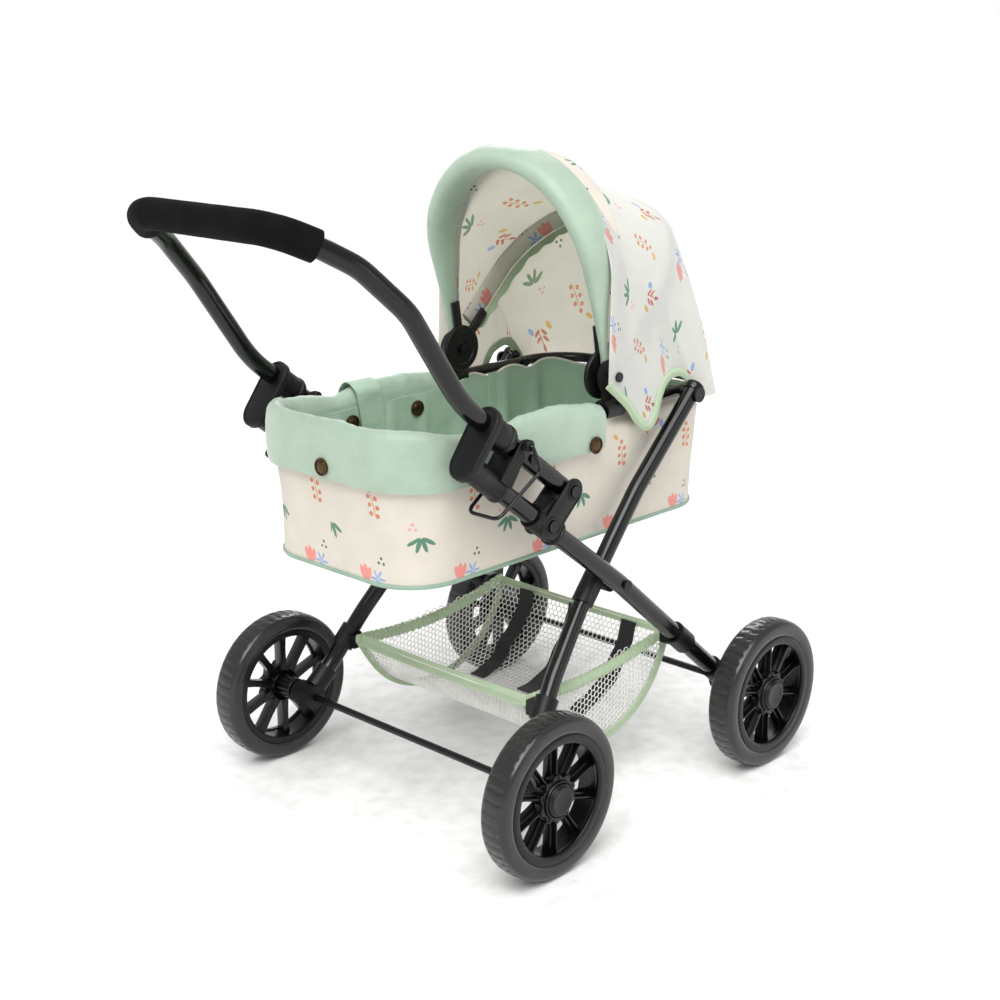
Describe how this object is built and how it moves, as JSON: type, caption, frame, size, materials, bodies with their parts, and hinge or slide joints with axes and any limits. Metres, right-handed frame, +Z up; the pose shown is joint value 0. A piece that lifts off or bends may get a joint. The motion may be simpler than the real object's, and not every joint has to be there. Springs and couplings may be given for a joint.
{
  "type": "doll stroller",
  "caption": "Folding doll stroller: crossed tube frame, hinged push handle, fabric cot hung in a rail loop, folding hood, net basket and spoked wheels.",
  "frame": {"origin": "centre of the stroller's outline on the ground, half way between the grip's rear and the front tyres", "axes": "+X towards the hood end (the front wheels), +Y to the left side, +Z up"},
  "size_m": [0.5264, 0.3456, 0.5302],
  "materials": {
    "tube_black": "gloss",
    "axle_steel": "satin",
    "rivet_steel": "satin",
    "plastic_black": "satin",
    "foam": "matte foam",
    "net": "matte mesh",
    "binding": "matte",
    "webbing": "matte woven",
    "print_fabric": "matte canvas",
    "mint_fabric": "satin",
    "board": "matte",
    "snap": "dark antique",
    "wheel_plastic": "satin",
    "tyre_rubber": "gloss"
  },
  "bodies": {
    "chassis": {"front_leg_left": "tube_black", "front_leg_right": "tube_black", "front_axle": "axle_steel", "front_axle_blocks": "plastic_black", "axle_washers_front": "axle_steel", "cross_pivot_bolts": "rivet_steel", "hinge_brackets": "plastic_black", "hinge_rivets": "rivet_steel", "leg_clips_left": "plastic_black", "leg_clips_right": "plastic_black", "basket_clamps_front": "plastic_black", "clamp_screws_front": "rivet_steel", "basket_net": "net", "basket_binding": "binding", "basket_straps": "webbing"},
    "rear_frame": {"rear_leg_left": "tube_black", "rear_leg_right": "tube_black", "rear_axle": "axle_steel", "rear_axle_blocks": "plastic_black", "axle_washers_rear": "axle_steel", "cross_pivot_saddles": "plastic_black", "basket_clamps_rear": "plastic_black", "clamp_screws_rear": "rivet_steel", "rail_pivot_bolts": "rivet_steel"},
    "handle": {"handle_tube": "tube_black", "foam_grip": "foam", "cot_studs": "plastic_black"},
    "lock_left": {"knuckle_left": "plastic_black"},
    "lock_right": {"knuckle_right": "plastic_black"},
    "wire_left": {"latch_wire_left": "tube_black"},
    "wire_right": {"latch_wire_right": "tube_black"},
    "cot": {"cot_rail": "tube_black", "rail_lugs": "plastic_black", "cot_shell": "print_fabric", "cot_front_rim": "print_fabric", "cot_cuff": "mint_fabric", "cot_lining": "mint_fabric", "cot_floor_board": "board", "snap_buttons": "snap", "hood_clamps": "plastic_black", "hood_hub_discs": "plastic_black", "hood_screws": "rivet_steel", "hood_canopy": "print_fabric"},
    "hood_front": {"hood_front_bow": "plastic_black", "hood_front_pad": "mint_fabric"},
    "hood_mid": {"hood_mid_bow": "print_fabric"},
    "front_wheel_left": {"wheel_front_left": "wheel_plastic", "tyre_front_left": "tyre_rubber", "hub_caps_front_left": "wheel_plastic"},
    "front_wheel_right": {"wheel_front_right": "wheel_plastic", "tyre_front_right": "tyre_rubber", "hub_caps_front_right": "wheel_plastic"},
    "rear_wheel_left": {"wheel_rear_left": "wheel_plastic", "tyre_rear_left": "tyre_rubber", "hub_caps_rear_left": "wheel_plastic"},
    "rear_wheel_right": {"wheel_rear_right": "wheel_plastic", "tyre_rear_right": "tyre_rubber", "hub_caps_rear_right": "wheel_plastic"}
  },
  "joints": [
    {"name": "handle_fold", "type": "hinge", "parent": "chassis", "child": "handle", "pos_m": [-0.01725, 0, 0.2846], "axis": [0, 1, 0], "range_deg": [0, 75]},
    {"name": "rear_fold", "type": "hinge", "parent": "chassis", "child": "rear_frame", "pos_m": [0.05023, 0, 0.19185], "axis": [0, 1, 0], "range_deg": [0, 30]},
    {"name": "cot_tilt", "type": "hinge", "parent": "rear_frame", "child": "cot", "pos_m": [0.15625, 0, 0.328], "axis": [0, 1, 0], "range_deg": [-8, 0]},
    {"name": "lock_slide_left", "type": "slide", "parent": "handle", "child": "lock_left", "axis": [-0.7934, 0, 0.6088], "range_m": [0, 0.02]},
    {"name": "lock_slide_right", "type": "slide", "parent": "handle", "child": "lock_right", "axis": [-0.7934, 0, 0.6088], "range_m": [0, 0.02]},
    {"name": "wire_swing_left", "type": "hinge", "parent": "chassis", "child": "wire_left", "pos_m": [-0.07114, 0, 0.33099], "axis": [0, 1, 0], "range_deg": [-18, 22]},
    {"name": "wire_swing_right", "type": "hinge", "parent": "chassis", "child": "wire_right", "pos_m": [-0.07114, 0, 0.33099], "axis": [0, 1, 0], "range_deg": [-18, 22]},
    {"name": "hood_fold", "type": "hinge", "parent": "cot", "child": "hood_front", "pos_m": [0.07025, 0, 0.354], "axis": [0, 1, 0], "range_deg": [0, 40], "deforming": ["hood_canopy"]},
    {"name": "hood_mid_follow", "type": "hinge", "parent": "cot", "child": "hood_mid", "pos_m": [0.07025, 0, 0.354], "axis": [0, 1, 0], "range_deg": [0, 20]},
    {"name": "front_wheel_left_spin", "type": "hinge", "parent": "chassis", "child": "front_wheel_left", "pos_m": [0.19825, 0, 0.065], "axis": [0, 1, 0], "continuous": true},
    {"name": "front_wheel_right_spin", "type": "hinge", "parent": "chassis", "child": "front_wheel_right", "pos_m": [0.19825, 0, 0.065], "axis": [0, 1, 0], "continuous": true},
    {"name": "rear_wheel_left_spin", "type": "hinge", "parent": "rear_frame", "child": "rear_wheel_left", "pos_m": [-0.07775, 0, 0.065], "axis": [0, 1, 0], "continuous": true},
    {"name": "rear_wheel_right_spin", "type": "hinge", "parent": "rear_frame", "child": "rear_wheel_right", "pos_m": [-0.07775, 0, 0.065], "axis": [0, 1, 0], "continuous": true}
  ],
  "couplings": [
    {"joint": "rear_fold", "follows": "handle_fold", "ratio": 0.36},
    {"joint": "cot_tilt", "follows": "handle_fold", "ratio": -0.06},
    {"joint": "hood_mid_follow", "follows": "hood_fold", "ratio": 0.5}
  ]
}
